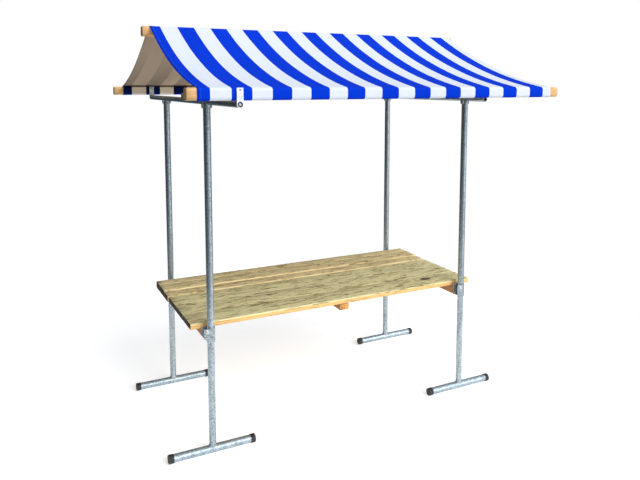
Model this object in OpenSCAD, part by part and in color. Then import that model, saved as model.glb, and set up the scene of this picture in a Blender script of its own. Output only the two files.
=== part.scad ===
// Market stall: two galvanised tube frames carry a board table and a striped ridge canopy.
// X runs along the stall, Y from the customer's side to the back, Z up from the ground.

/* [Frame] */
// Distance between the left and right posts, centre to centre
frame_width = 1860; // [1200:10:2600]
// Distance between the front and rear posts, centre to centre
frame_depth = 1006; // [840:2:1300]
// Outside diameter of the posts
post_d = 42.4; // [33.7:0.1:54]
// Wall thickness of every tube
tube_wall = 2.6; // [2:0.1:4]
// Height of the roof arm's axis above the ground
arm_height = 2121; // [1900:1:2500]
// Outside diameter of the roof arms, tie and king posts
arm_d = 33.7; // [26.9:0.1:38]

/* [Feet] */
// Length of a foot tube over its end caps
foot_length = 540; // [300:10:700]
// Outside diameter of a foot tube
foot_d = 48.3; // [44:0.1:60]
// Length of the part of a cap that grips the outside of the tube
cap_grip = 28; // [15:1:50]
// Wall thickness of a cap
cap_wall = 2.5; // [1.5:0.5:4]

/* [Table] */
// Height of the front boards' top face
table_height = 803; // [650:1:950]
// How far the boards reach out past the middle of the posts at each end
table_overhang = 110; // [60:1:200]
// Gap between the front posts and the front edge of the table
front_post_gap = 26; // [5:1:40]
// Gap between the rear posts and the back edge of the table
rear_post_gap = 36.6; // [5:0.2:60]
// Thickness of the three front boards, which share the depth that the rear boards leave
front_board_thick = 36; // [22:1:40]
// Width of the fourth board, counted from the front
fourth_board_width = 104; // [80:1:120]
// Width of the fifth board
fifth_board_width = 140; // [100:1:160]
// Width of the rear board
rear_board_width = 98; // [80:1:110]
// How far the fourth board stands above the front ones, and the fifth above the fourth
board_step = 6; // [0:1:12]
// Gap between neighbouring boards
board_gap = 2; // [0.5:0.5:6]
// How far the three rear boards sit to the left of the front ones
rear_board_shift = 8; // [0:1:15]
// Width of the cross-bearers under the boards
bearer_width = 60; // [45:1:80]
// Height of the cross-bearers
bearer_height = 66; // [60:1:120]
// Width of the middle batten
batten_width = 68; // [40:1:90]
// Height of the middle batten
batten_height = 40; // [25:1:60]

/* [Roof] */
// How far the middle of an eave rail lies outside the posts
eave_overhang = 542; // [400:1:700]
// Rise of the ridge beam above the eave rails
roof_rise = 375; // [250:1:600]
// Side of the square rails and ridge beam
rail_side = 62; // [50:1:80]
// Radius of the timber's long edges
rail_edge_r = 8; // [3:1:12]
// How far the rails and the ridge beam reach past the middle of the posts at each end
rail_overhang = 272; // [150:1:400]
// How far the front rail sits right of the middle, and the other two left of it
rail_skew = 8; // [0:1:20]
// How far the right arm's open end lies outside the front post
right_arm_overhang = 212; // [120:1:300]
// How much each end of the ridge beam falls short of the ends of the eave rails
ridge_inset = 22; // [0:1:60]
// How far in from the roof arms the king posts stand on the roof tie
king_inset = 150; // [0:5:300]

/* [Canopy] */
// Length of bare rail at each end of the canvas
bare_rail = 59; // [40:1:120]
// Thickness of the canvas with its hems
canvas_thick = 3; // [2:0.5:4]
// How far the canvas sags halfway down a slope
canvas_sag = 54; // [20:1:80]

/* [Brackets] */
// Thickness of flat steel brackets
plate_thick = 6; // [4:0.5:8]
// Width of the flat bars at the rails
bar_width = 34; // [25:1:40]
// Height of the clamps at the table bearers
clamp_height = 88; // [80:1:130]
// How far the clamps stand up past the underside of the boards, clear of the boards' edge
clamp_rise = 20; // [0:1:30]
// How far a clamp's cheeks reach past the post
cheek_reach = 25.8; // [20:0.2:40]
// Thickness of a clamp's sheet steel
clamp_thick = 4.5; // [3:0.5:6]
// How far the ears of an arm socket stand out from its sleeve
socket_ear = 2.6; // [2:0.1:15]
// Diameter of the bolt holes in brackets and clamps
bolt_hole_d = 11; // [8:0.5:14]

/* [Hidden] */
seat_gap = 0.3;
arc_steps = 6;
sag_steps = 14;

post_x = frame_width / 2;
post_y = frame_depth / 2;
post_r = post_d / 2;
arm_r = arm_d / 2;
foot_axis = foot_d / 2 + cap_wall;
cap_end = 3;

rail_length = frame_width + 2 * rail_overhang;
canvas_length = rail_length - 2 * bare_rail;
eave_reach = post_y + eave_overhang;
wrap_gap = canvas_thick + 2 * seat_gap;
eave_height = arm_height + arm_r + wrap_gap + rail_side / 2;
ridge_height = eave_height + roof_rise;
front_bar_y = eave_reach + rail_side / 2 + wrap_gap;
inner_bar_y = eave_reach - rail_side / 2 - wrap_gap;
bar_top = eave_height + rail_side / 2;
right_arm_reach = post_y + right_arm_overhang;
bar_lap = 90;

table_length = frame_width + 2 * table_overhang;
table_depth = frame_depth - post_d - front_post_gap - rear_post_gap;
rear_widths = fourth_board_width + fifth_board_width + rear_board_width;
front_board_width = (table_depth - rear_widths - 5 * board_gap) / 3;
table_front = -post_y + post_r + front_post_gap;
board_bottom = table_height - front_board_thick;
second_y = table_front + front_board_width + board_gap;
third_y = second_y + front_board_width + board_gap;
fourth_y = third_y + front_board_width + board_gap;
fifth_y = fourth_y + fourth_board_width + board_gap;
rear_y = fifth_y + fifth_board_width + board_gap;

socket_floor = 12;
socket_sleeve = 8;
ear_height = 34;
ear_width = 26;
post_top = arm_height - arm_r - socket_floor;

cradle_ear = 40;
cradle_width = 60;
tie_cope = 5;
tie_height = arm_height + arm_d - tie_cope;
king_x = post_x - king_inset;
king_top = ridge_height - rail_side / 2 - seat_gap - plate_thick;

steel = "lightsteelblue";
timber = "burlywood";
shaded_timber = "peru";

// A tube along Z from z = 0, open at both ends.
module tube(d, h) {
    difference() {
        cylinder(d = d, h = h, $fn = 48);
        translate([0, 0, -1]) cylinder(d = d - 2 * tube_wall, h = h + 2, $fn = 48);
    }
}

// A solid rod along X, centred on the origin, for coping and drilling.
module rod_x(d, h) {
    rotate([0, 90, 0]) cylinder(d = d, h = h, center = true, $fn = 48);
}

// The same along Y.
module rod_y(d, h) {
    rotate([90, 0, 0]) cylinder(d = d, h = h, center = true, $fn = 48);
}

// An upright from its foot tube to its arm socket; the lower end is coped to the foot.
module post(sx, sy) {
    color(steel) translate([sx * post_x, sy * post_y, 0]) difference() {
        translate([0, 0, foot_axis]) tube(post_d, post_top - foot_axis);
        translate([0, 0, foot_axis]) rod_x(foot_d + 2 * seat_gap, 3 * post_d);
    }
}

// The tube that a post stands on, lying along X.
module foot(sx, sy) {
    length = foot_length - 2 * (cap_end + seat_gap);
    color(steel) translate([sx * post_x - length / 2, sy * post_y, foot_axis])
        rotate([0, 90, 0]) tube(foot_d, length);
}

// One cap, closed end outwards, over the end of a foot tube at x = 0 that runs towards -X.
module foot_cap() {
    outer = foot_d + 2 * cap_wall;
    rotate([0, -90, 0]) difference() {
        translate([0, 0, -cap_end]) cylinder(d = outer, h = cap_end + cap_grip, $fn = 48);
        translate([0, 0, -seat_gap]) cylinder(d = foot_d + seat_gap, h = cap_grip + 1, $fn = 48);
    }
}

// The two caps of one foot.
module foot_caps(sx, sy) {
    color("black") translate([sx * post_x, sy * post_y, foot_axis])
        for (end = [0, 1]) mirror([end, 0, 0])
            translate([foot_length / 2 - cap_end, 0, 0]) foot_cap();
}

// A tube over both posts of one frame, from front to back, that carries the eave rails.
module roof_arm(sx, front_y) {
    back_y = inner_bar_y - plate_thick - seat_gap;
    color(steel) translate([sx * post_x, -front_y, arm_height])
        rotate([-90, 0, 0]) tube(arm_d, front_y + back_y);
}

// The round saddle on a post's top, with ears up both sides of the roof arm.
module arm_socket(sx, sy) {
    base = post_top - socket_sleeve;
    sleeve_r = post_r + clamp_thick;
    half_top = sleeve_r + socket_ear;
    color(steel) translate([sx * post_x, sy * post_y, 0]) difference() {
        union() {
            translate([0, 0, base]) cylinder(r = sleeve_r, h = arm_height - base, $fn = 48);
            translate([-half_top, -ear_width / 2, arm_height - ear_height])
                cube([2 * half_top, ear_width, ear_height]);
        }
        translate([0, 0, arm_height]) rod_y(arm_d + 2 * seat_gap, 3 * sleeve_r);
        translate([0, 0, base - 1])
            cylinder(d = post_d + 2 * seat_gap, h = socket_sleeve + 1 + seat_gap, $fn = 48);
    }
}

// A tube laid across both roof arms at their middle and coped over them.
module roof_tie() {
    length = frame_width + arm_d;
    color(steel) difference() {
        translate([-length / 2, 0, tie_height]) rotate([0, 90, 0]) tube(arm_d, length);
        for (sx = [-1, 1])
            translate([sx * post_x, 0, arm_height]) rod_y(arm_d + 2 * seat_gap, 2 * arm_d);
    }
}

// The short upright from the roof tie to the ridge, coped to the tie at its lower end.
module king_post(sx) {
    color(steel) translate([sx * king_x, 0, tie_height]) difference() {
        tube(arm_d, king_top - tie_height - seat_gap);
        rod_x(arm_d + 2 * seat_gap, 2 * arm_d);
    }
}

// A folded plate on a king post that holds the ridge beam between two ears.
module ridge_cradle(sx) {
    inside = rail_side + 2 * seat_gap;
    outside = inside + 2 * plate_thick;
    color(steel) translate([sx * king_x, 0, king_top]) difference() {
        translate([-cradle_width / 2, -outside / 2, 0])
            cube([cradle_width, outside, plate_thick + cradle_ear]);
        translate([-cradle_width, -inside / 2, plate_thick])
            cube([2 * cradle_width, inside, cradle_ear + 1]);
        translate([0, 0, plate_thick + cradle_ear / 2]) rod_y(bolt_hole_d, outside + 2);
    }
}

// A flat bar standing on edge at y = 0, from the arm's axis up beside an eave rail.
// Its lower end is round and drilled over the arm's end, its upper end for the rail bolt.
module rail_bar(lower_hole_d) {
    height = bar_top - arm_height;
    translate([0, plate_thick, 0]) rotate([90, 0, 0]) linear_extrude(plate_thick) difference() {
        union() {
            circle(d = bar_width, $fn = 48);
            translate([-bar_width / 2, 0]) square([bar_width, height]);
        }
        circle(d = lower_hole_d, $fn = 32);
        translate([0, height - bar_width / 3]) circle(d = bolt_hole_d * 0.7, $fn = 32);
    }
}

// The left front bar lies outside the rail, over the canvas, on the arm's front end.
// Its lower hole is as wide as the arm's bore, which stays open.
module front_left_rail_bracket() {
    color(steel) translate([-post_x, -front_bar_y - plate_thick, arm_height])
        rail_bar(arm_d - 2 * tube_wall);
}

// The right front bar lies on top of the shorter arm and turns up behind the rail.
module front_right_rail_bracket() {
    low = arm_height + arm_r + seat_gap;
    color(steel) translate([post_x - bar_width / 2, 0, low]) {
        translate([0, -inner_bar_y, 0])
            cube([bar_width, inner_bar_y - right_arm_reach + bar_lap, plate_thick]);
        translate([0, -inner_bar_y, 0]) cube([bar_width, plate_thick, bar_top - low]);
    }
}

// A rear bar lies inside the rail, against the arm's rear end.
module rear_rail_bracket(sx) {
    color(steel) translate([sx * post_x, inner_bar_y - plate_thick, arm_height])
        rail_bar(bolt_hole_d);
}

// The square section of the rails, with rounded edges.
module rail_section() {
    flat = rail_side - 2 * rail_edge_r;
    corner = flat / 2;
    square([rail_side, flat], center = true);
    square([flat, rail_side], center = true);
    for (cx = [-corner, corner], cy = [-corner, corner])
        translate([cx, cy]) circle(r = rail_edge_r, $fn = 32);
}

// A long timber along X with the rails' section.
module rail(shift, y, z, inset = 0) {
    length = rail_length - 2 * inset;
    color(timber) translate([shift - length / 2, y, z])
        rotate([90, 0, 90]) linear_extrude(length) rail_section();
}

// Points of an arc from one angle to another about c.
function arc(c, r, from, to) =
    [for (i = [0:arc_steps]) let (a = from + (to - from) * i / arc_steps) c + r * [cos(a), sin(a)]];

// Points of the sagging slope between p and q, without its end points.
function slope(p, q) =
    [for (i = [1:sag_steps - 1]) let (s = i / sag_steps)
        p + s * (q - p) - [0, 4 * canvas_sag * s * (1 - s)]];

// The direction of travel at point i of a path.
function heading(path, i) =
    let (a = path[max(i - 1, 0)], b = path[min(i + 1, len(path) - 1)]) (b - a) / norm(b - a);

// The path moved to its left by t.
function beside(path, t) =
    [for (i = [0:len(path) - 1]) let (h = heading(path, i)) path[i] + t * [-h[1], h[0]]];

function reversed(path) = [for (i = [len(path) - 1:-1:0]) path[i]];

// Half the canvas: from the ridge down one slope, round the eave rail and up behind it.
// The section is drawn with y outwards from the ridge and is extruded along X.
module canvas_half() {
    r = rail_edge_r + seat_gap;
    half = rail_side / 2 - rail_edge_r;
    ridge_corner = [half, ridge_height + half];
    outer_low = [eave_reach + half, eave_height - half];
    outer_top = [eave_reach + half, eave_height + half];
    inner_low = [eave_reach - half, eave_height - half];
    fall = atan((roof_rise + 4 * canvas_sag) / eave_reach);
    slope_top = ridge_corner + r * [sin(fall), cos(fall)];
    slope_end = [eave_reach - half, eave_height + half + r];
    inner_end = [eave_reach - half - r, eave_height + half - 2 * canvas_thick];
    path = concat(
        [[0, ridge_height + rail_side / 2 + seat_gap]],
        arc(ridge_corner, r, 90, 90 - fall),
        slope(slope_top, slope_end),
        [slope_end],
        arc(outer_top, r, 90, 0),
        arc(outer_low, r, 0, -90),
        arc(inner_low, r, -90, -180),
        [inner_end]
    );
    color("royalblue") translate([-canvas_length / 2, 0, 0]) rotate([90, 0, 90])
        linear_extrude(canvas_length) polygon(concat(path, reversed(beside(path, canvas_thick))));
}

// A table board with its front edge at y, its top raised by so many steps.
// Boards that stand higher belong to the rear panel, which sits further left.
module board(y, width, steps) {
    left = -table_length / 2 - (steps > 0 ? rear_board_shift : 0);
    color(timber) translate([left, y, board_bottom])
        cube([table_length, width, front_board_thick + steps * board_step]);
}

// The batten that ties the boards together at mid-length.
module middle_batten() {
    color(shaded_timber)
        translate([-batten_width / 2, table_front, board_bottom - batten_height])
            cube([batten_width, table_depth, batten_height]);
}

// A timber on edge between the front and rear posts, under the ends of the boards.
module bearer(sx) {
    end = post_y - post_r - clamp_thick - 2 * seat_gap;
    color(shaded_timber)
        translate([sx * post_x - bearer_width / 2, -end, board_bottom - bearer_height])
            cube([bearer_width, 2 * end, bearer_height]);
}

// A folded clamp round a post, with its two cheeks towards -X and a bolt hole through both.
// The bearer's end butts on one cheek; the cheeks' lower corners are cut off at a slant.
module bearer_clamp(sx, sy) {
    inner_r = post_r + seat_gap;
    outer_r = inner_r + clamp_thick;
    reach = post_r + cheek_reach;
    slant_height = 36;
    hole_drop = 19;
    base = board_bottom + clamp_rise - clamp_height;
    color(steel) translate([sx * post_x, sy * post_y, base]) difference() {
        union() {
            cylinder(r = outer_r, h = clamp_height, $fn = 48);
            translate([-reach, -outer_r, 0]) cube([reach, 2 * outer_r, clamp_height]);
        }
        translate([0, 0, -1]) cylinder(r = inner_r, h = clamp_height + 2, $fn = 48);
        translate([-reach - 1, -inner_r, -1]) cube([reach + 1, 2 * inner_r, clamp_height + 2]);
        translate([-reach, 0, 0]) rotate([90, 0, 0]) linear_extrude(3 * outer_r, center = true)
            polygon([[-1, -1], [cheek_reach, -1], [cheek_reach, 0], [0, slant_height], [-1, slant_height]]);
        translate([-post_r - bolt_hole_d / 2 - 1, 0, clamp_height - hole_drop])
            rod_y(bolt_hole_d, 3 * outer_r);
    }
}

post(-1, -1);  // front_left_post
post(1, -1);  // front_right_post
post(-1, 1);  // rear_left_post
post(1, 1);  // rear_right_post
foot(-1, -1);  // front_left_foot
foot(1, -1);  // front_right_foot
foot(-1, 1);  // rear_left_foot
foot(1, 1);  // rear_right_foot
foot_caps(-1, -1);  // front_left_foot_caps
foot_caps(1, -1);  // front_right_foot_caps
foot_caps(-1, 1);  // rear_left_foot_caps
foot_caps(1, 1);  // rear_right_foot_caps
roof_arm(-1, front_bar_y - seat_gap);  // left_roof_arm
roof_arm(1, right_arm_reach);  // right_roof_arm
arm_socket(-1, -1);  // front_left_arm_socket
arm_socket(1, -1);  // front_right_arm_socket
arm_socket(-1, 1);  // rear_left_arm_socket
arm_socket(1, 1);  // rear_right_arm_socket
roof_tie();
king_post(-1);  // left_king_post
king_post(1);  // right_king_post
ridge_cradle(-1);  // left_ridge_cradle
ridge_cradle(1);  // right_ridge_cradle
front_left_rail_bracket();
front_right_rail_bracket();
rear_rail_bracket(-1);  // rear_left_rail_bracket
rear_rail_bracket(1);  // rear_right_rail_bracket
rail(-rail_skew, 0, ridge_height, ridge_inset);  // ridge_beam
rail(rail_skew, -eave_reach, eave_height);  // front_rail
rail(-rail_skew, eave_reach, eave_height);  // rear_rail
mirror([0, 1, 0]) canvas_half();  // front_canvas
canvas_half();  // rear_canvas
board(table_front, front_board_width, 0);  // front_board
board(second_y, front_board_width, 0);  // second_board
board(third_y, front_board_width, 0);  // third_board
board(fourth_y, fourth_board_width, 1);  // fourth_board
board(fifth_y, fifth_board_width, 2);  // fifth_board
board(rear_y, rear_board_width, 2);  // rear_board
middle_batten();
bearer(-1);  // left_bearer
bearer(1);  // right_bearer
bearer_clamp(-1, -1);  // front_left_bearer_clamp
bearer_clamp(1, -1);  // front_right_bearer_clamp
bearer_clamp(-1, 1);  // rear_left_bearer_clamp
bearer_clamp(1, 1);  // rear_right_bearer_clamp
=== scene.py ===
"""Market stall: galvanised tube frame, board table and striped canopy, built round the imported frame."""
import math
import random

import bmesh
import bpy
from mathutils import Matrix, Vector, noise


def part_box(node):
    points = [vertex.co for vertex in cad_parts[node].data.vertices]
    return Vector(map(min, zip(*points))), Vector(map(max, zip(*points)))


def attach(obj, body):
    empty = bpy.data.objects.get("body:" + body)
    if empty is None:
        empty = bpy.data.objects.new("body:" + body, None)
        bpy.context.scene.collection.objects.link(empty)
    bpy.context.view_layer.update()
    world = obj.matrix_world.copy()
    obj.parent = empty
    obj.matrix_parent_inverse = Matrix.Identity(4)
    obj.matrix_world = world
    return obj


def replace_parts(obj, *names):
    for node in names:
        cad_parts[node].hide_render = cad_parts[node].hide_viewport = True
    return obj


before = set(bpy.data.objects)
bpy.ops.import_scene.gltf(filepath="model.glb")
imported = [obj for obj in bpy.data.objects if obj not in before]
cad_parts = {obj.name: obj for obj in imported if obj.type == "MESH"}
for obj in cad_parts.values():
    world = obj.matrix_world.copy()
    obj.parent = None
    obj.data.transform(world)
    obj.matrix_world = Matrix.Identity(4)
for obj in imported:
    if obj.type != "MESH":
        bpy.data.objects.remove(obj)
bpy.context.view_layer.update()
corners = ["front_left", "front_right", "rear_left", "rear_right"]

# ---- Camera -------------------------------------------------------------------------------
# Stands at the front left, level with the eaves, and looks slightly down across the table.
# The lens is shifted, which keeps the posts nearly upright.
camera = bpy.data.objects.new("camera", bpy.data.cameras.new("camera"))
bpy.context.scene.collection.objects.link(camera)
bpy.context.scene.camera = camera
camera.data.sensor_width = 36
camera.data.lens = 35.63
camera.data.shift_y = -0.1406
camera.location = (-1.9623, -4.0475, 2.2165)
camera_turn = 0.4602
camera_tilt = 0.1023
camera.rotation_euler = (math.pi / 2 - camera_tilt, 0, -camera_turn)

# ---- Studio -------------------------------------------------------------------------------
# A pale floor under a wide low sun, in front and a little to the right. A cool dome, darker on
# the left and behind, fills the shade, and a tall softbox draws a bright line down the tubes.
world = bpy.data.worlds.new("studio")
bpy.context.scene.world = world
world.use_nodes = True
bpy.context.scene.view_settings.view_transform = "Standard"


def add(tree, kind, inputs=None, **settings):
    """Adds a node, sets its properties, then sets or links its inputs by name or number."""
    made = tree.nodes.new(kind)
    for name, value in settings.items():
        setattr(made, name, value)
    for key, value in (inputs or {}).items():
        socket = made.inputs[key]
        if isinstance(value, bpy.types.NodeSocket):
            tree.links.new(value, socket)
        else:
            socket.default_value = value
    return made


def maths(tree, operation, *values):
    """One step of arithmetic on numbers or sockets; gives back its output."""
    return add(tree, "ShaderNodeMath", dict(enumerate(values)), operation=operation).outputs[0]


def mix(tree, factor, none, full):
    """A blend from one colour to another; gives back its output."""
    ends = {"Factor": factor, "A": none, "B": full}
    return add(tree, "ShaderNodeMix", ends, data_type="RGBA").outputs["Result"]


def spread(tree, value, came_from, goes_to=(0.0, 1.0), curve="LINEAR"):
    """Maps a value from one clamped range to another; gives back its output."""
    ends = {"Value": value, "From Min": came_from[0], "From Max": came_from[1]}
    ends.update({"To Min": goes_to[0], "To Max": goes_to[1]})
    return add(tree, "ShaderNodeMapRange", ends, interpolation_type=curve).outputs[0]


def vectors(tree, operation, *values):
    """One step of arithmetic on vectors; gives back its output."""
    made = add(tree, "ShaderNodeVectorMath", dict(enumerate(values)), operation=operation)
    return made.outputs["Value" if operation in ("LENGTH", "DOT_PRODUCT") else "Vector"]


def ramp(tree, value, *stops):
    """Colours along a value, from stops of (position, colour); gives back its output."""
    made = add(tree, "ShaderNodeValToRGB", {0: value})
    steps = made.color_ramp.elements
    for number, (position, colour) in enumerate(stops):
        step = steps[number] if number < 2 else steps.new(position)
        step.position = position
        step.color = (*colour, 1)
    return made.outputs["Color"]


def cloud(tree, place, scale, detail, rough=0.5, distortion=0.0):
    """Soft noise over a place; gives back its output."""
    ends = {"Vector": place, "Scale": scale, "Detail": detail, "Roughness": rough, "Distortion": distortion}
    return add(tree, "ShaderNodeTexNoise", ends).outputs[0]


def relief(tree, shader, strength, distance, height):
    """Gives a shader fine bumps, at most a distance in metres high."""
    bump = add(tree, "ShaderNodeBump", {"Strength": strength, "Distance": distance, "Height": height})
    tree.links.new(bump.outputs[0], shader.inputs["Normal"])


def paint(name):
    """A new material with its node tree and its shader."""
    made = bpy.data.materials.new(name)
    made.use_nodes = True
    return made, made.node_tree, made.node_tree.nodes["Principled BSDF"]


def studio_world():
    tree = world.node_tree
    tree.nodes.clear()
    direction = add(tree, "ShaderNodeTexCoord").outputs["Generated"]
    bright_side = vectors(tree, "DOT_PRODUCT", direction, (0.45, -0.55, 0.70))
    dome = ramp(tree, bright_side, (0.12, (0.04, 0.055, 0.07)), (0.85, (1.10, 1.15, 1.22)))
    light = add(tree, "ShaderNodeBackground", {"Color": dome, "Strength": 1.0})
    seen = add(tree, "ShaderNodeBackground", {"Color": (1.0, 1.0, 1.0, 1), "Strength": 1.0})
    camera_ray = add(tree, "ShaderNodeLightPath").outputs["Is Camera Ray"]
    both = add(tree, "ShaderNodeMixShader", {0: camera_ray, 1: light.outputs[0], 2: seen.outputs[0]})
    add(tree, "ShaderNodeOutputWorld", {0: both.outputs[0]})


studio_world()
sun = bpy.data.objects.new("soft_sun", bpy.data.lights.new("soft_sun", "SUN"))
sun.data.energy = 2.0
sun.data.angle = math.radians(32)
sun_direction = Vector((0.30, -0.82, 0.48))
sun.rotation_euler = sun_direction.to_track_quat("Z", "Y").to_euler()
bpy.context.scene.collection.objects.link(sun)
softbox = bpy.data.objects.new("tall_softbox", bpy.data.lights.new("tall_softbox", "AREA"))
softbox.data.shape = "RECTANGLE"
softbox.data.size = 0.8
softbox.data.size_y = 4.5
softbox.data.energy = 40
softbox.location = (4.2, -5.2, 1.6)
softbox.rotation_euler = Vector((4.2, -5.2, 0.4)).to_track_quat("Z", "Y").to_euler()
softbox.visible_camera = False
bpy.context.scene.collection.objects.link(softbox)

floor = bpy.data.objects.new("floor", bpy.data.meshes.new("floor"))
bpy.context.scene.collection.objects.link(floor)
floor_shape = bmesh.new()
bmesh.ops.create_circle(floor_shape, cap_ends=True, segments=96, radius=3.2)
floor_shape.to_mesh(floor.data)
floor_shape.free()
floor_paint, _, floor_shader = paint("floor_paint")
floor_shader.inputs["Base Color"].default_value = (0.86, 0.86, 0.85, 1)
floor_shader.inputs["Roughness"].default_value = 0.9
floor_shader.inputs["Specular IOR Level"].default_value = 0.0
floor_shader.inputs["Emission Color"].default_value = (1, 1, 1, 1)
floor_shader.inputs["Emission Strength"].default_value = 0.46
floor.data.materials.append(floor_paint)

# ---- Tube frame ---------------------------------------------------------------------------
# Posts, feet, roof arms, roof tie and king posts are hot-dip galvanised steel tube, sawn, coped
# and welded. The zinc is a mottle of pale crystals, brighter where it ran thick.


def galvanised(name, dark, pale, crystal, rough, metal=0.82):
    """Zinc-coated steel: broad mottling, small crystals, and a little grime in the dark patches."""
    made, tree, shader = paint(name)
    place = add(tree, "ShaderNodeTexCoord").outputs["Object"]
    crystals = add(tree, "ShaderNodeTexVoronoi", {"Vector": place, "Scale": crystal})
    crystal_tone = add(tree, "ShaderNodeSeparateColor", {0: crystals.outputs["Color"]}).outputs[0]
    mottle = cloud(tree, place, 70.0, 4.0, 0.7)
    streaks = add(tree, "ShaderNodeMapping", {"Vector": place, "Scale": (1.0, 1.0, 0.12)})
    runs = cloud(tree, streaks.outputs[0], 60.0, 3.0)
    blend = add(tree, "ShaderNodeMix", {"Factor": 0.45, "A": crystal_tone, "B": mottle}, data_type="FLOAT")
    ends = {"Factor": 0.3, "A": blend.outputs[0], "B": runs}
    tone = add(tree, "ShaderNodeMix", ends, data_type="FLOAT").outputs[0]
    tree.links.new(ramp(tree, tone, (0.30, dark), (0.68, pale)), shader.inputs["Base Color"])
    gloss = spread(tree, tone, (0.3, 0.7), (rough + 0.14, rough))
    tree.links.new(gloss, shader.inputs["Roughness"])
    shader.inputs["Metallic"].default_value = metal
    relief(tree, shader, 0.12, 0.0006, tone)
    return made


tube_zinc = galvanised("galvanised_tube", (0.17, 0.21, 0.235), (0.54, 0.63, 0.68), 260.0, 0.27, 0.88)
# The feet's zinc is a little darker than the posts': a painted shade that tones down the highlight along the
# feet.
foot_zinc_shaded = galvanised("galvanised_foot_shaded", (0.17, 0.215, 0.245), (0.48, 0.57, 0.635), 260.0, 0.40)
tube_nodes = [c + "_post" for c in corners] + [c + "_foot" for c in corners]
tube_nodes += ["left_roof_arm", "right_roof_arm", "roof_tie", "left_king_post", "right_king_post"]
for name in tube_nodes:
    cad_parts[name].data.materials.clear()
    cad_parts[name].data.materials.append(foot_zinc_shaded if name.endswith("_foot") else tube_zinc)


def piece(name, shape, material, smooth=True):
    """Turns a bmesh into a piece of the stall that rides on its one body."""
    mesh = bpy.data.meshes.new(name)
    shape.to_mesh(mesh)
    shape.free()
    made = bpy.data.objects.new(name, mesh)
    bpy.context.scene.collection.objects.link(made)
    mesh.materials.append(material)
    for face in mesh.polygons:
        face.use_smooth = smooth
    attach(made, "root")
    return made


# ---- Welds --------------------------------------------------------------------------------
# A rippled bead runs round each post where it stands on its foot, and round each king post
# where it stands on the roof tie. It follows the saddle line of the two tubes.
bead_radius = 0.0032
bead_steps = 96
bead_sides = 10
ripple_count = 34
upward = Vector((0, 0, 1))


def skin(shape, rings):
    """Joins each ring of points to the next with faces."""
    around = len(rings[0])
    for here, after in zip(rings, rings[1:]):
        for k in range(around):
            beside = (k + 1) % around
            shape.faces.new((here[k], here[beside], after[beside], after[k]))


def weld_bead(name, centre, post_radius, lying_radius):
    """A rippled ring of weld where an upright tube stands on a lying one; centre is on both axes."""
    sunk = 0.3 * bead_radius
    shape = bmesh.new()
    rings = []
    for i in range(bead_steps):
        turn = 2 * math.pi * i / bead_steps
        across = math.sin(turn)
        rise = math.sqrt(max(lying_radius**2 - (post_radius * across) ** 2, 0.0))
        outward = Vector((math.cos(turn), math.sin(turn), 0))
        middle = Vector(centre) + outward * (post_radius + sunk) + upward * (rise + sunk)
        ripple = 0.16 * math.sin(turn * ripple_count)
        thick = bead_radius * (1 + ripple + 0.10 * noise.noise(middle * 160))
        ring = []
        for k in range(bead_sides):
            lean = 2 * math.pi * k / bead_sides
            reach = outward * math.cos(lean) + upward * math.sin(lean)
            ring.append(shape.verts.new(middle + reach * thick))
        rings.append(ring)
    skin(shape, rings + rings[:1])
    bmesh.ops.recalc_face_normals(shape, faces=shape.faces)
    return piece(name, shape, weld_zinc)


weld_zinc = galvanised("galvanised_weld", (0.24, 0.28, 0.32), (0.60, 0.66, 0.72), 320.0, 0.38)
for corner in corners:
    post_low, post_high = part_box(corner + "_post")
    foot_low, foot_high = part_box(corner + "_foot")
    foot_axis = (foot_low.z + foot_high.z) / 2
    middle = ((post_low.x + post_high.x) / 2, (post_low.y + post_high.y) / 2, foot_axis)
    post_radius = (post_high.x - post_low.x) / 2
    weld_bead(corner + "_foot_weld", middle, post_radius, (foot_high.z - foot_low.z) / 2)
tie_low, tie_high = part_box("roof_tie")
tie_radius = (tie_high.z - tie_low.z) / 2
for side in ["left", "right"]:
    king_low, king_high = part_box(side + "_king_post")
    middle = ((king_low.x + king_high.x) / 2, 0, (tie_low.z + tie_high.z) / 2)
    weld_bead(side + "_king_weld", middle, (king_high.x - king_low.x) / 2, tie_radius)

# ---- Foot caps ----------------------------------------------------------------------------
# Black moulded caps push over the ends of the foot tubes. Each has a rounded lip, three grip
# ribs round its skirt and a shallow dish in its end.


def moulded_rubber():
    made, tree, shader = paint("black_cap_rubber")
    place = add(tree, "ShaderNodeTexCoord").outputs["Object"]
    scuffs = cloud(tree, place, 90.0, 6.0, 0.7)
    tone = ramp(tree, scuffs, (0.45, (0.010, 0.010, 0.011)), (0.72, (0.055, 0.055, 0.058)))
    tree.links.new(tone, shader.inputs["Base Color"])
    relief(tree, shader, 0.25, 0.0004, scuffs)
    shader.inputs["Roughness"].default_value = 0.52
    return made


cap_rubber = moulded_rubber()
cap_length = 0.031
cap_segments = 48


def cap_profile(outer):
    """Radius and depth from the open end of the skirt to the middle of the dished end."""
    bore = outer - 0.0022
    groove = outer - 0.0009
    points = [(bore, 0.0), (outer - 0.0006, 0.0), (outer, 0.0007)]
    for rib in range(3):
        start = 0.005 + rib * 0.006
        points += [(outer, start), (groove, start + 0.0006), (groove, start + 0.0024), (outer, start + 0.003)]
    lip = 0.004
    for i in range(5):
        lean = math.pi / 2 * i / 4
        points.append((outer - lip + lip * math.cos(lean), cap_length - lip + lip * math.sin(lean)))
    dish = cap_length - 0.0022
    points += [(outer * 0.62, cap_length), (outer * 0.56, cap_length - 0.0006), (outer * 0.50, dish)]
    points += [(outer * 0.14, dish), (outer * 0.10, cap_length - 0.0010)]
    return points


def turned(shape, profile, start, along, across):
    """A turned skin from (radius, distance) pairs along an axis; gives back its rings."""
    rings = []
    for radius, distance in profile:
        ring = []
        for k in range(cap_segments):
            turn = 2 * math.pi * k / cap_segments
            reach = across * math.cos(turn) + upward * math.sin(turn)
            ring.append(shape.verts.new(start + along * distance + reach * radius))
        rings.append(ring)
    skin(shape, rings)
    return rings


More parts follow.
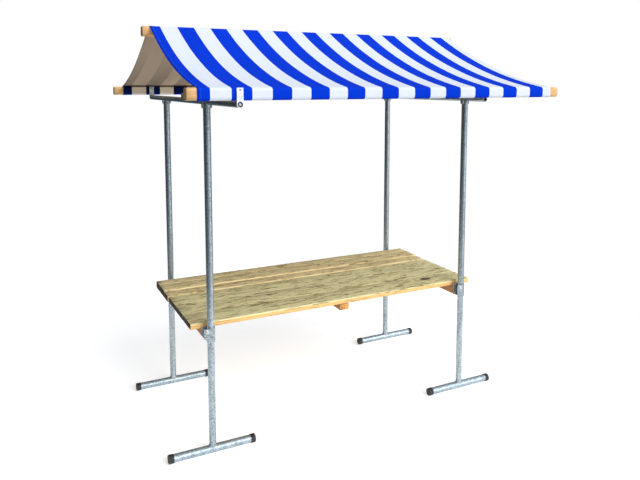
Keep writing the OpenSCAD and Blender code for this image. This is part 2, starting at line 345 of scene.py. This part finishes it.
for corner in corners:
    low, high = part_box(corner + "_foot_caps")
    outer = (high.z - low.z) / 2
    shape = bmesh.new()
    for direction, end in ((-1, low.x), (1, high.x)):
        mouth = Vector((end - direction * cap_length, (low.y + high.y) / 2, (low.z + high.z) / 2))
        rings = turned(shape, cap_profile(outer), mouth, Vector((direction, 0, 0)), Vector((0, 1, 0)))
        shape.faces.new(rings[-1])
    bmesh.ops.recalc_face_normals(shape, faces=shape.faces)
    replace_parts(piece(corner + "_moulded_caps", shape, cap_rubber), corner + "_foot_caps")

# ---- Plate fittings -----------------------------------------------------------------------
# Arm sockets, ridge cradles, bearer clamps and rail brackets are cut and folded from flat steel,
# then galvanised: duller and more blotched than the tube. The sockets, cradles and clamps are also
# a little darker, a painted shade, and the rail brackets much paler, partly painted light.
# A little darker than the tube: painted shade for the fittings that sit in shade.
plate_zinc_shaded = galvanised("galvanised_plate_shaded", (0.16, 0.19, 0.21), (0.50, 0.57, 0.61), 180.0, 0.33)
# Near white and barely metallic: pale zinc plating, made paler still as painted light.
bar_zinc_lit = galvanised("galvanised_bar_lit", (0.58, 0.64, 0.68), (0.88, 0.92, 0.94), 120.0, 0.36, 0.3)
plate_nodes = [c + part for c in corners for part in ("_arm_socket", "_bearer_clamp")]
plate_nodes += ["left_ridge_cradle", "right_ridge_cradle"]
for name in plate_nodes + [c + "_rail_bracket" for c in corners]:
    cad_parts[name].data.materials.clear()
    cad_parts[name].data.materials.append(plate_zinc_shaded if name in plate_nodes else bar_zinc_lit)

# ---- Bolts --------------------------------------------------------------------------------
# Zinc-plated hexagon bolts with round washers fill the drilled holes in the plate fittings.
# Each is set at a point with the direction in which its head faces.


def point_group(name, sizes):
    """A new node group with a mesh, some lengths and a material as its inputs, and those inputs."""
    group = bpy.data.node_groups.new(name, "GeometryNodeTree")
    sockets = group.interface
    sockets.new_socket("Geometry", in_out="INPUT", socket_type="NodeSocketGeometry")
    for label, value in sizes.items():
        sockets.new_socket(label, in_out="INPUT", socket_type="NodeSocketFloat").default_value = value
    sockets.new_socket("Material", in_out="INPUT", socket_type="NodeSocketMaterial")
    sockets.new_socket("Geometry", in_out="OUTPUT", socket_type="NodeSocketGeometry")
    return group, add(group, "NodeGroupInput").outputs


def disc(group, sides, radius, depth, rise):
    """A short cylinder with its middle raised; gives back its output."""
    made = add(group, "GeometryNodeMeshCylinder", {"Vertices": sides, "Radius": radius, "Depth": depth})
    lift = add(group, "ShaderNodeCombineXYZ", {"Z": rise})
    ends = {0: made.outputs["Mesh"], "Translation": lift.outputs[0]}
    return add(group, "GeometryNodeTransform", ends).outputs[0]


def aimed(group):
    """The turn that brings a copy's own Z to the aim stored on its point."""
    aim = add(group, "GeometryNodeInputNamedAttribute", {"Name": "aim"}, data_type="FLOAT_VECTOR")
    ends = {"Vector": aim.outputs["Attribute"]}
    return add(group, "FunctionNodeAlignRotationToVector", ends, axis="Z").outputs[0]


def copy_to_points(group, given, part, turn):
    """Ends a node group with a painted copy of a part on every point."""
    points = add(group, "GeometryNodeMeshToPoints", {"Mesh": given["Geometry"]})
    ends = {"Points": points.outputs[0], "Instance": part, "Rotation": turn}
    placed = add(group, "GeometryNodeInstanceOnPoints", ends)
    real = add(group, "GeometryNodeRealizeInstances", {0: placed.outputs[0]})
    ends = {"Geometry": real.outputs[0], "Material": given["Material"]}
    painted = add(group, "GeometryNodeSetMaterial", ends)
    add(group, "NodeGroupOutput", {0: painted.outputs[0]})


def hexagon_bolts():
    """A node group that sets a bolt head, shank end and washer on every point of a mesh."""
    sizes = {"Head Width": 0.017, "Head Height": 0.006, "Washer Width": 0.024, "Washer Height": 0.002}
    group, given = point_group("hexagon_bolts", sizes)
    head_radius = maths(group, "MULTIPLY", given["Head Width"], 0.577)
    head_rise = maths(group, "MULTIPLY_ADD", given["Head Height"], 0.5, given["Washer Height"])
    head = disc(group, 6, head_radius, given["Head Height"], head_rise)
    washer_radius = maths(group, "MULTIPLY", given["Washer Width"], 0.5)
    washer_rise = maths(group, "MULTIPLY", given["Washer Height"], 0.5)
    washer = disc(group, 24, washer_radius, given["Washer Height"], washer_rise)
    shank_radius = maths(group, "MULTIPLY", given["Head Width"], 0.29)
    shank_rise = maths(group, "ADD", given["Head Height"], given["Washer Height"])
    shank = disc(group, 16, shank_radius, 0.004, shank_rise)
    join = add(group, "GeometryNodeJoinGeometry")
    for part in (shank, washer, head):
        group.links.new(part, join.inputs[0])
    copy_to_points(group, given, join.outputs[0], aimed(group))
    return group


def set_out(name, group, spots, values):
    """Runs a node group on points with their directions, and keeps the result as a plain piece."""
    seeds = bpy.data.meshes.new(name + "_points")
    seeds.from_pydata([place for place, aim in spots], [], [])
    aims = seeds.attributes.new("aim", "FLOAT_VECTOR", "POINT")
    for i, (place, aim) in enumerate(spots):
        aims.data[i].vector = aim
    holder = bpy.data.objects.new(name + "_holder", seeds)
    bpy.context.scene.collection.objects.link(holder)
    modifier = holder.modifiers.new("set_out", "NODES")
    modifier.node_group = group
    for item in group.interface.items_tree:
        if item.in_out == "INPUT" and item.name in values:
            modifier[item.identifier] = values[item.name]
    bpy.context.view_layer.update()
    seen = holder.evaluated_get(bpy.context.evaluated_depsgraph_get())
    mesh = bpy.data.meshes.new_from_object(seen)
    mesh.name = name
    bpy.data.objects.remove(holder)
    made = bpy.data.objects.new(name, mesh)
    bpy.context.scene.collection.objects.link(made)
    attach(made, "root")
    return made


bolt_zinc = galvanised("plated_bolt", (0.40, 0.42, 0.44), (0.78, 0.80, 0.82), 400.0, 0.26)
bolt_group = hexagon_bolts()
hole_drop = 0.019
hole_inset = 0.0065
cradle_hole_drop = 0.020
clamp_bolts = []
for corner in corners:
    low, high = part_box(corner + "_bearer_clamp")
    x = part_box(corner + "_post")[0].x - hole_inset
    face, way = (low.y, -1) if corner.startswith("front") else (high.y, 1)
    clamp_bolts.append((Vector((x, face, high.z - hole_drop)), Vector((0, way, 0))))
set_out("clamp_bolts", bolt_group, clamp_bolts, {"Material": bolt_zinc})

bracket_bolts = []
for corner in ("rear_left", "rear_right"):
    low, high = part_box(corner + "_rail_bracket")
    upper_hole = high.z - (high.x - low.x) / 3
    bracket_bolts.append((Vector(((low.x + high.x) / 2, low.y, upper_hole)), Vector((0, -1, 0))))
set_out("bracket_bolts", bolt_group, bracket_bolts, {"Material": bolt_zinc})

cradle_bolts = []
for side in ("left", "right"):
    low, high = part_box(side + "_ridge_cradle")
    x, z = (low.x + high.x) / 2, high.z - cradle_hole_drop
    for face, way in ((low.y, -1), (high.y, 1)):
        cradle_bolts.append((Vector((x, face, z)), Vector((0, way, 0))))
set_out("cradle_bolts", bolt_group, cradle_bolts, {"Material": bolt_zinc})

# ---- Left arm's end -----------------------------------------------------------------------
# The left arm's bore shows through its front bar. A black plug shape sits just inside it, a dark
# stand-in for the shade in the open bore. It is drawn in by a small plated bolt whose head stands
# in for the glint there, a painted highlight, and a dark pan screw in the bar's upper hole pins the
# cloth to the rail.
bar_low, bar_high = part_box("front_left_rail_bracket")
arm_low, arm_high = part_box("left_roof_arm")
bar_middle = (bar_low.x + bar_high.x) / 2
arm_axis = (arm_low.z + arm_high.z) / 2
bore_shade_depth = 0.0030
pin_depth = 0.0055
bore_shade_profile = [(0.0139, 0.014), (0.0139, 0.0022), (0.0131, 0.0014), (0.0100, 0.0014)]
bore_shade_profile += [(0.0092, bore_shade_depth), (0.0020, bore_shade_depth)]
shape = bmesh.new()
bore_mouth = Vector((bar_middle, bar_low.y, arm_axis))
rings = turned(shape, bore_shade_profile, bore_mouth, Vector((0, 1, 0)), Vector((1, 0, 0)))
shape.faces.new(rings[0])
shape.faces.new(rings[-1])
bmesh.ops.recalc_face_normals(shape, faces=shape.faces)
# A dark stand-in for the shade inside the open bore.
piece("arm_bore_shade_plug", shape, cap_rubber)
small_bolt = {"Head Width": 0.010, "Head Height": 0.0018, "Washer Width": 0.0135, "Washer Height": 0.0006}
small_bolt["Material"] = bolt_zinc
# The bolt's head stands in for the glint inside the bore: a painted highlight.
bore_glint_bolt = [(Vector((bar_middle, bar_low.y + bore_shade_depth, arm_axis)), Vector((0, -1, 0)))]
set_out("bore_glint_bolt", bolt_group, bore_glint_bolt, small_bolt)
screw_dark = galvanised("dark_screw", (0.03, 0.03, 0.03), (0.10, 0.10, 0.10), 500.0, 0.45)
pan_screw = {"Head Width": 0.0050, "Head Height": 0.0020, "Washer Width": 0.0070, "Washer Height": 0.0010}
pan_screw["Material"] = screw_dark
upper_hole = bar_high.z - (bar_high.x - bar_low.x) / 3
cloth_pin = [(Vector((bar_middle, bar_low.y + pin_depth, upper_hole)), Vector((0, -1, 0)))]
set_out("cloth_pin", bolt_group, cloth_pin, pan_screw)

# ---- Timber -------------------------------------------------------------------------------
# One way of cutting serves every timber: a section with eased edges is run along its length,
# with the slight waver of a sawn or planed face, always inside the timber's nominal size.
station_gap = 0.035
edge_steps = 4
along_x, along_y = 0, 1


def waver_at(along, lane):
    """A slow waver between 0 and 1 along a timber; lane keeps one face's apart from another's."""
    return 0.5 + 0.5 * noise.noise(Vector((along, *lane)))


def timber(name, box, along, edge, waver, seed, material):
    """A length of timber that fills a box, with its long edges eased. It stores its pith's place."""
    low, high = box
    side = 1 - along
    length = high[along] - low[along]
    half_side, half_rise = (high[side] - low[side]) / 2, (high.z - low.z) / 2
    middle_side, middle_rise = (high[side] + low[side]) / 2, (high.z + low.z) / 2
    section = []
    for cs, cz, start in ((1, 1, 0), (-1, 1, 90), (-1, -1, 180), (1, -1, 270)):
        for i in range(edge_steps + 1):
            lean = math.radians(start + 90 * i / edge_steps)
            a = cs * (half_side - edge) + edge * math.cos(lean)
            section.append((a, cz * (half_rise - edge) + edge * math.sin(lean)))
    chamfer = min(edge * 0.5, 0.003)
    count = max(int(length / station_gap), 6)
    between = [chamfer + (length - 2 * chamfer) * i / count for i in range(1, count)]
    stations = [0.0, chamfer] + between + [length - chamfer, length]
    shape = bmesh.new()
    rings = []
    for i, s in enumerate(stations):
        inset = chamfer if i in (0, len(stations) - 1) else 0.0
        pull_side = waver * waver_at(s * 3.1, (seed * 7.7, 0.3))
        pull_far = waver * waver_at(s * 3.7, (seed * 5.1, 4.3))
        pull_rise = 0.5 * waver * waver_at(s * 2.3, (seed * 3.3, 8.3))
        ring = []
        for a, b in section:
            a = a - math.copysign(inset + (pull_side if a > 0 else pull_far), a)
            b = b - math.copysign(inset, b) - (pull_rise if b > 0 else 0.0)
            place = [0.0, 0.0, middle_rise + b]
            place[along] = low[along] + s
            place[side] = middle_side + a
            ring.append(shape.verts.new(place))
        rings.append(ring)
    skin(shape, rings)
    shape.faces.new(rings[0])
    shape.faces.new(reversed(rings[-1]))
    bmesh.ops.recalc_face_normals(shape, faces=shape.faces)
    made = piece(name, shape, material)
    dice = random.Random(seed)
    pith = [seed * 1.37, 0.0, middle_rise - dice.uniform(0.03, 0.09)]
    pith[along] = seed * 1.37
    pith[side] = middle_side + dice.uniform(-0.8, 0.8) * half_side
    heart = made.data.attributes.new("pith", "FLOAT_VECTOR", "POINT")
    heart.data.foreach_set("vector", pith * len(made.data.vertices))
    return made


def wood(name, pale, dark, edge_tint, end_tint, along, ring_gap, knots=(), figure=1.0):
    """Softwood: growth rings round each timber's own pith, pores, streaks and knots. edge_tint
    colours the faces that don't look up, end_tint the ends; knots are (x, y, radius) in metres."""
    made, tree, shader = paint(name)
    place = add(tree, "ShaderNodeTexCoord")
    spot = place.outputs["Object"]

    def lengthwise(share):
        """A scale that shortens the way along the timber to a share, and so stretches its pattern."""
        return (share, 1.0, 1.0) if along == along_x else (1.0, share, 1.0)

    pith = add(tree, "ShaderNodeAttribute", attribute_name="pith").outputs["Vector"]
    from_pith = vectors(tree, "SUBTRACT", spot, pith)
    slow = add(tree, "ShaderNodeMapping", {"Vector": from_pith, "Scale": lengthwise(0.16)}).outputs[0]
    drift = add(tree, "ShaderNodeTexNoise", {"Vector": slow, "Scale": 7.5, "Detail": 2.0}).outputs["Color"]
    centred = vectors(tree, "SUBTRACT", drift, (0.5, 0.5, 0.5))
    moved = vectors(tree, "MULTIPLY_ADD", centred, (0.055, 0.055, 0.055), from_pith)
    nearest = None
    for kx, ky, radius in knots:
        flat = vectors(tree, "SUBTRACT", spot, (kx, ky, 0))
        reach = vectors(tree, "LENGTH", vectors(tree, "MULTIPLY", flat, (0.58 / radius, 1 / radius, 0)))
        nearest = reach if nearest is None else maths(tree, "MINIMUM", nearest, reach)
    radial = vectors(tree, "LENGTH", vectors(tree, "MULTIPLY", moved, lengthwise(0.0)))
    if nearest is not None:
        swirl = spread(tree, nearest, (0.7, 3.6), (0.024, 0.0), "SMOOTHSTEP")
        radial = maths(tree, "ADD", radial, swirl)
    turns = maths(tree, "MULTIPLY", radial, 1 / ring_gap)
    year = maths(tree, "FRACT", turns)
    late = ramp(tree, year, (0.0, (0, 0, 0)), (0.84, (1, 1, 1)), (0.97, (0.05, 0.05, 0.05)))
    fine = add(tree, "ShaderNodeMapping", {"Vector": from_pith, "Scale": lengthwise(0.02)}).outputs[0]
    fibre = cloud(tree, fine, 420.0, 2.0, 0.7)
    longer = add(tree, "ShaderNodeMapping", {"Vector": moved, "Scale": lengthwise(0.11)}).outputs[0]
    streaks = spread(tree, cloud(tree, longer, 86.0, 3.0, 0.6, 0.9), (0.54, 0.63))
    blotch = cloud(tree, slow, 11.0, 4.0, 0.6)
    depth = maths(tree, "MULTIPLY", late, 0.34)
    depth = maths(tree, "MULTIPLY_ADD", fibre, 0.34, depth)
    depth = maths(tree, "MULTIPLY_ADD", blotch, 0.34, depth)
    depth = maths(tree, "MULTIPLY_ADD", streaks, 0.95 * figure, depth)
    strength = spread(tree, depth, (0.34, 1.25))
    speckle = spread(tree, cloud(tree, spot, 75.0, 3.0, 0.75), (0.40, 0.64))
    edge_deep = [c * 0.6 for c in edge_tint]
    end_deep = [c * 0.38 for c in end_tint]
    face_tone = mix(tree, strength, (*pale, 1), (*dark, 1))
    edge_tone = mix(tree, strength, (*edge_tint, 1), (*edge_deep, 1))
    end_tone = mix(tree, speckle, (*end_tint, 1), (*end_deep, 1))
    facing = add(tree, "ShaderNodeSeparateXYZ", {0: place.outputs["Normal"]})
    up = spread(tree, facing.outputs["Z"], (0.05, 0.35))
    end_way = maths(tree, "ABSOLUTE", facing.outputs["X" if along == along_x else "Y"])
    at_end = spread(tree, end_way, (0.6, 0.8))
    result = mix(tree, at_end, mix(tree, up, edge_tone, face_tone), end_tone)
    if nearest is not None:
        ringed = maths(tree, "SINE", maths(tree, "MULTIPLY", nearest, 14.0))
        core = spread(tree, ringed, (-1, 1), (0.35, 1.0))
        eye = mix(tree, core, (0.24, 0.19, 0.09, 1), (0.09, 0.075, 0.035, 1))
        inside = spread(tree, nearest, (0.75, 1.3), (1.0, 0.0), "SMOOTHSTEP")
        result = mix(tree, inside, result, eye)
    tree.links.new(result, shader.inputs["Base Color"])
    rough = spread(tree, depth, (0.2, 1.2), (0.58, 0.80))
    tree.links.new(rough, shader.inputs["Roughness"])
    shader.inputs["Specular IOR Level"].default_value = 0.2
    relief(tree, shader, 0.4, 0.001, depth)
    return made


# ---- Bearers and batten -------------------------------------------------------------------
# Two sawn timbers on edge carry the boards between the posts, and a flat batten under the
# middle ties the boards together. They stay in the table's shade and are browner than it.
bearer_brown = (0.50, 0.27, 0.11)
bearer_deep, bearer_end = (0.24, 0.12, 0.045), (0.78, 0.38, 0.10)
bearer_wood = wood("bearer_timber", bearer_brown, bearer_deep, bearer_brown, bearer_end, along_y, 0.0065)
sawn_edge, sawn_waver = 0.003, 0.0012
for number, name in enumerate(("left_bearer", "right_bearer", "middle_batten")):
    box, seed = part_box(name), 30 + number
    made = timber("sawn_" + name, box, along_y, sawn_edge, sawn_waver, seed, bearer_wood)
    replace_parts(made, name)

# ---- Table boards -------------------------------------------------------------------------
# Six planed softwood boards, their tops dipped and weathered to a greenish tan. The front board's
# edges keep the warm colour of the wood; the middle boards' edges are painted dark, a painted shade
# in the joints, and the rear boards' edges are a paler orange, partly a painted highlight on their
# eased edges. The front board has the roundest edge from years of use.
table_knots = [(0.74, -0.335, 0.026), (-0.42, -0.16, 0.010), (0.18, 0.30, 0.009)]
table_knots += [(-0.75, 0.18, 0.008), (0.52, 0.02, 0.010), (0.05, -0.39, 0.008)]
board_ring_gap = 0.0055
# Near black: the end grain's own dark, deepened by painted shade.
board_end_and_shade = (0.05, 0.032, 0.018)


def board_timber(name, pale, dark, edge_tint):
    """The wood of some of the boards; all share their knots and their near-black ends: the end grain's own
    dark, deepened by painted shade.
    """
    return wood(name, pale, dark, edge_tint, board_end_and_shade, along_x, board_ring_gap, table_knots)


weathered, weathered_deep = (0.88, 0.79, 0.43), (0.20, 0.14, 0.05)
board_wood = board_timber("table_timber", weathered, weathered_deep, (0.85, 0.50, 0.19))
# The middle boards' sides and undersides are painted dark: painted shade in the joints between the boards.
middle_wood_joint_shade = board_timber("middle_table_timber_joint_shade", weathered, weathered_deep, (0.40, 0.31, 0.14))
# The rear boards' sides and undersides are a paler orange: wood colour with a painted highlight on their
# eased edges.
rear_wood_edge_highlight = board_timber("rear_table_timber_edge_highlight", (0.88, 0.72, 0.39), (0.22, 0.14, 0.045), (0.90, 0.66, 0.34))
table_boards = {
    "front_board": (0.009, 0.0022, board_wood),
    "second_board": (0.002, 0.001, middle_wood_joint_shade),
    "third_board": (0.002, 0.001, middle_wood_joint_shade),
    "fourth_board": (0.005, 0.001, rear_wood_edge_highlight),
    "fifth_board": (0.005, 0.001, rear_wood_edge_highlight),
    "rear_board": (0.004, 0.001, rear_wood_edge_highlight),
}
for number, (name, (edge, waver, material)) in enumerate(table_boards.items()):
    box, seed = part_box(name), number + 1
    made = timber("planed_" + name, box, along_x, edge, waver, seed, material)
    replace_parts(made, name)

# ---- Board screws -------------------------------------------------------------------------
# Countersunk steel screws hold each board to the two bearers and the batten, two at every
# crossing, set a little off line and sunk just below the face.


def screw_heads():
    """A node group that sets a low round screw head with a cross slot on every point."""
    group, given = point_group("screw_heads", {"Head Width": 0.009, "Head Height": 0.0006})
    radius = maths(group, "MULTIPLY", given["Head Width"], 0.5)
    ends = {"Vertices": 20, "Radius": radius, "Depth": given["Head Height"]}
    head = add(group, "GeometryNodeMeshCylinder", ends)
    slot_length = maths(group, "MULTIPLY", given["Head Width"], 0.55)
    slot_width = maths(group, "MULTIPLY", given["Head Width"], 0.13)
    slot_size = add(group, "ShaderNodeCombineXYZ", {"X": slot_length, "Y": slot_width, "Z": 0.0003})
    cross_size = add(group, "ShaderNodeCombineXYZ", {"X": slot_width, "Y": slot_length, "Z": 0.0003})
    half = maths(group, "MULTIPLY", given["Head Height"], 0.5)
    lift = add(group, "ShaderNodeCombineXYZ", {"Z": half})
    join = add(group, "GeometryNodeJoinGeometry")
    for size in (slot_size, cross_size):
        bar = add(group, "GeometryNodeMeshCube", {"Size": size.outputs[0]})
        ends = {0: bar.outputs["Mesh"], "Translation": lift.outputs[0]}
        set_bar = add(group, "GeometryNodeTransform", ends)
        group.links.new(set_bar.outputs[0], join.inputs[0])
    group.links.new(head.outputs["Mesh"], join.inputs[0])
    angle = add(group, "FunctionNodeRandomValue", {2: 0.0, 3: 3.14, "Seed": 11}, data_type="FLOAT")
    turn = add(group, "ShaderNodeCombineXYZ", {"Z": angle.outputs[1]})
    copy_to_points(group, given, join.outputs[0], turn.outputs[0])
    return group


screw_steel = galvanised("dull_screw", (0.07, 0.065, 0.06), (0.22, 0.21, 0.20), 500.0, 0.45)
screw_sink = 0.0004
screw_spots = []
for name in table_boards:
    low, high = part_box(name)
    for support in ("left_bearer", "middle_batten", "right_bearer"):
        support_low, support_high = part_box(support)
        x = (support_low.x + support_high.x) / 2
        for share, skew in ((0.22, -0.006), (0.78, 0.007)):
            y = low.y + share * (high.y - low.y)
            screw_spots.append((Vector((x + skew, y, high.z - screw_sink)), upward))
set_out("board_screws", screw_heads(), screw_spots, {"Material": screw_steel})

# ---- Rails and ridge beam -----------------------------------------------------------------
# Three square planed timbers with well-rounded edges carry the canvas. They stay a clean,
# warm orange because the canvas keeps the rain off them.
rail_pale, rail_deep = (0.84, 0.53, 0.24), (0.50, 0.27, 0.10)
# The ends are kept as pale as the faces: the end grain's colour, lifted by painted light.
rail_side, rail_end_with_light = (0.80, 0.48, 0.21), (0.86, 0.52, 0.25)
rail_wood = wood("rail_timber", rail_pale, rail_deep, rail_side, rail_end_with_light, along_x, 0.006, figure=0.4)
rail_edge, rail_waver = 0.016, 0.0003
for number, name in enumerate(("front_rail", "ridge_beam", "rear_rail")):
    box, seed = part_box(name), 20 + number
    made = timber("planed_" + name, box, along_x, rail_edge, rail_waver, seed, rail_wood)
    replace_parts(made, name)

# ---- Canvas -------------------------------------------------------------------------------
# One striped cotton canvas is thrown over the ridge beam, pulled down over both eave rails and
# lapped round them. It sags between the timbers, and its striped side is outermost all the way.
cloth_thick = 0.0012
cloth_gap = 0.0013
mid_sag = 0.047
flap_room = 0.0008
lap_rows = 9
slope_steps = 44
rail_low, rail_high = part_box("front_rail")
ridge_low, ridge_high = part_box("ridge_beam")
canvas_low, canvas_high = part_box("front_canvas")
half_flat = (rail_high.z - rail_low.z) / 2 - rail_edge
eave_reach = -(rail_low.y + rail_high.y) / 2
eave_height = (rail_low.z + rail_high.z) / 2
ridge_height = (ridge_low.z + ridge_high.z) / 2
wrap = rail_edge + cloth_gap


def bend(centre, start, end, steps):
    """Points round a timber's edge, from one angle to another in degrees."""
    points = []
    for i in range(steps + 1):
        turn = math.radians(start + (end - start) * i / steps)
        points.append((centre[0] + wrap * math.cos(turn), centre[1] + wrap * math.sin(turn), 0.0))
    return points


def half_route():
    """Points (way out from the ridge, height, share of the sag) from the ridge to the inner hem."""
    drop = (ridge_height - eave_height) / eave_reach
    leave = math.degrees(math.atan(drop + 4 * mid_sag / eave_reach))
    arrive = math.degrees(math.atan(drop - 4 * mid_sag / eave_reach))
    ridge_top = ridge_height + half_flat
    eave_top, eave_foot = eave_height + half_flat, eave_height - half_flat
    eave_out, eave_in = eave_reach + half_flat, eave_reach - half_flat
    start = bend((half_flat, ridge_top), 90, 90 - leave, 5)
    finish = bend((eave_out, eave_top), 90 - arrive, 0, 6)
    p, q = start[-1], finish[0]
    points = [(i * half_flat / 3, ridge_top + wrap, 0.0) for i in range(3)]
    points += start
    for i in range(1, slope_steps):
        s = i / slope_steps
        sag = 4 * s * (1 - s)
        points.append((p[0] + s * (q[0] - p[0]), p[1] + s * (q[1] - p[1]) - mid_sag * sag, sag))
    points += finish
    flats = [half_flat * (1 - 2 * i / 4) for i in range(1, 4)]
    points += [(eave_out + wrap, eave_height + flat, 0.0) for flat in flats]
    points += bend((eave_out, eave_foot), 0, -90, 6)
    points += [(eave_reach + flat, eave_foot - wrap, 0.0) for flat in flats]
    points += bend((eave_in, eave_foot), -90, -180, 6)
    flap_length = half_flat + half_flat + rail_edge - flap_room
    points += [(eave_in - wrap, eave_foot + flap_length * i / 6, 0.0) for i in range(1, 7)]
    return points


half = half_route()
front_slope, rear_slope = 1, -1
route = [(y, z, sag, front_slope) for y, z, sag in reversed(half[1:])]
route += [(half[0][0], half[0][1], 0.0, 0)]
route += [(-y, z, sag, rear_slope) for y, z, sag in half[1:]]
columns = 150
canvas_span = canvas_high.x - canvas_low.x
hem_width = 0.022
hem_rise = 0.0005
ripple_gap = 0.108
end_reach = 0.06


def cloth_point(column, number):
    """Where the cloth lies at one column along the stall and one point of its route."""
    across = column / columns
    x = canvas_low.x + across * canvas_span
    y, z, sag, slope_side = route[number]
    before, after = route[max(number - 1, 0)], route[min(number + 1, len(route) - 1)]
    travel = Vector((0, after[0] - before[0], after[1] - before[1])).normalized()
    outward = Vector((0, travel.z, -travel.y))
    slack = 0.0045 * noise.noise(Vector((x * 1.3, slope_side * 3.0, 0.5)))
    slack += 0.0025 * noise.noise(Vector((x * 4.1, slope_side * 5.0, 2.5)))
    ripple = 0.0016 * math.sin(2 * math.pi * x / ripple_gap) * sag**0.5 * (1 - sag) ** 0.5
    pull = 0.0022 * noise.noise(Vector((x * 9.0, y * 2.2, 6.1))) * sag
    from_low, from_high = x - canvas_low.x, canvas_high.x - x
    end_lift = -0.006 * sag * (math.exp(-from_low / end_reach) + math.exp(-from_high / end_reach))
    offset = slack * sag + ripple + pull + end_lift
    hem = hem_rise if min(from_low, from_high) < hem_width else 0.0
    return Vector((x, y, z)) + outward * (offset + hem)


shape = bmesh.new()
lap_layer = shape.verts.layers.float.new("lap")
grid = [[shape.verts.new(cloth_point(c, r)) for r in range(len(route))] for c in range(columns + 1)]
for line in grid:
    for r, vertex in enumerate(line):
        vertex[lap_layer] = 1.0 if min(r, len(route) - 1 - r) < lap_rows else 0.0
for c in range(columns):
    for r in range(len(route) - 1):
        shape.faces.new((grid[c][r], grid[c][r + 1], grid[c + 1][r + 1], grid[c + 1][r]))
shape.normal_update()
top_face = max(shape.faces, key=lambda f: f.calc_center_median().z)
if top_face.normal.z < 0:
    bmesh.ops.reverse_faces(shape, faces=shape.faces)


def woven(name, blue, white, stripe, contrast=(1.0, 1.0)):
    """Plain-woven cotton striped along the slope: threads, a frayed stripe edge, light soiling, and painted
    shade and warm bounce on the laps round the rails.
    """
    made, tree, shader = paint(name)
    place = add(tree, "ShaderNodeTexCoord").outputs["Object"]
    parts = add(tree, "ShaderNodeSeparateXYZ", {0: place})
    wander = maths(tree, "MULTIPLY_ADD", cloud(tree, place, 900.0, 1.0), 0.0016, parts.outputs["X"])
    repeat = maths(tree, "MULTIPLY", wander, 1 / (2 * stripe))
    phase = maths(tree, "FRACT", repeat)
    in_blue = maths(tree, "GREATER_THAN", phase, 0.5)
    ends = {"Vector": place, "Scale": 190.0, "Distortion": 1.0}
    weft = add(tree, "ShaderNodeTexWave", ends, bands_direction="X")
    slope_place = maths(tree, "SUBTRACT", parts.outputs["Y"], parts.outputs["Z"])
    warp_place = add(tree, "ShaderNodeCombineXYZ", {"X": slope_place, "Y": parts.outputs["X"]})
    ends["Vector"] = warp_place.outputs[0]
    warp = add(tree, "ShaderNodeTexWave", ends, bands_direction="X")
    weave = maths(tree, "MAXIMUM", weft.outputs["Fac"], warp.outputs["Fac"])
    soil = cloud(tree, place, 2.4, 5.0, 0.62)
    blue_deep = tuple(c * 0.72 for c in blue)
    blue_tone = mix(tree, soil, (*blue_deep, 1), (*blue, 1))
    white_soiled = (white[0] * 0.90, white[1] * 0.90, white[2] * 0.92)
    white_tone = mix(tree, soil, (*white_soiled, 1), (*white, 1))
    # The stripe bands weaken with height: the first contrast holds low on the slope and the second near the
    # ridge.
    low_z, high_z = ridge_height - 0.30, ridge_height - 0.10
    band_share = spread(tree, parts.outputs["Z"], (low_z, high_z), contrast)
    band = maths(tree, "MULTIPLY", in_blue, band_share)
    striped = mix(tree, band, white_tone, blue_tone)
    dim = spread(tree, weave, (0.0, 1.0), (0.90, 1.04))
    # On the laps round the rails both colours are replaced: cream on the white stripes and deep navy on the
    # blue. This is painted shade with a painted warm bounce of light from the table and timber below.
    lap = add(tree, "ShaderNodeAttribute", attribute_name="lap").outputs["Fac"]
    lap_shade_and_bounce = mix(tree, in_blue, (0.86, 0.76, 0.57, 1), (0.001, 0.010, 0.09, 1))
    striped = mix(tree, lap, striped, lap_shade_and_bounce)
    final = add(tree, "ShaderNodeVectorMath", {0: striped, "Scale": dim}, operation="SCALE")
    tree.links.new(final.outputs[0], shader.inputs["Base Color"])
    shader.inputs["Roughness"].default_value = 0.82
    shader.inputs["Specular IOR Level"].default_value = 0.05
    relief(tree, shader, 0.4, 0.0005, weave)
    return made


stripe_width = 0.1078
canvas_top = woven("striped_canvas", (0.0, 0.042, 0.68), (0.74, 0.78, 0.86), stripe_width)
under_dark, under_pale = (0.25, 0.20, 0.165), (0.50, 0.385, 0.28)
canvas_under = woven("canvas_underside", under_dark, under_pale, stripe_width, (0.62, 0.06))
canvas = piece("striped_canopy", shape, canvas_top)
canvas.data.materials.append(canvas_under)
thicken = canvas.modifiers.new("cloth", "SOLIDIFY")
thicken.thickness = cloth_thick
thicken.offset = 0
thicken.material_offset = 1
thicken.material_offset_rim = 0
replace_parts(canvas, "front_canvas", "rear_canvas")


def stitches():
    """A node group that lays one short thread stitch along the aim of every point."""
    group, given = point_group("stitches", {"Stitch Length": 0.004, "Thread Width": 0.0007})
    radius = maths(group, "MULTIPLY", given["Thread Width"], 0.5)
    ends = {"Vertices": 6, "Radius": radius, "Depth": given["Stitch Length"]}
    thread = add(group, "GeometryNodeMeshCylinder", ends)
    copy_to_points(group, given, thread.outputs["Mesh"], aimed(group))
    return group


stitch_step = 0.0065
hem_line = 0.018
stitch_lift = 0.0007
cotton_thread, _, thread_shader = paint("cotton_thread")
thread_shader.inputs["Base Color"].default_value = (0.14, 0.22, 0.55, 1)
thread_shader.inputs["Roughness"].default_value = 0.8
stitch_spots = []
hem_column = hem_line / canvas_span * columns
for column in (hem_column, columns - hem_column):
    spare = 0.0
    for r in range(lap_rows, len(route) - 1 - lap_rows):
        here, after = cloth_point(column, r), cloth_point(column, r + 1)
        along = (after - here).normalized()
        outward = Vector((0, along.z, -along.y))
        walked = spare
        while walked < (after - here).length:
            stitch_spots.append((here + along * walked + outward * stitch_lift, along))
            walked += stitch_step
        spare = walked - (after - here).length
set_out("hem_stitches", stitches(), stitch_spots, {"Material": cotton_thread})
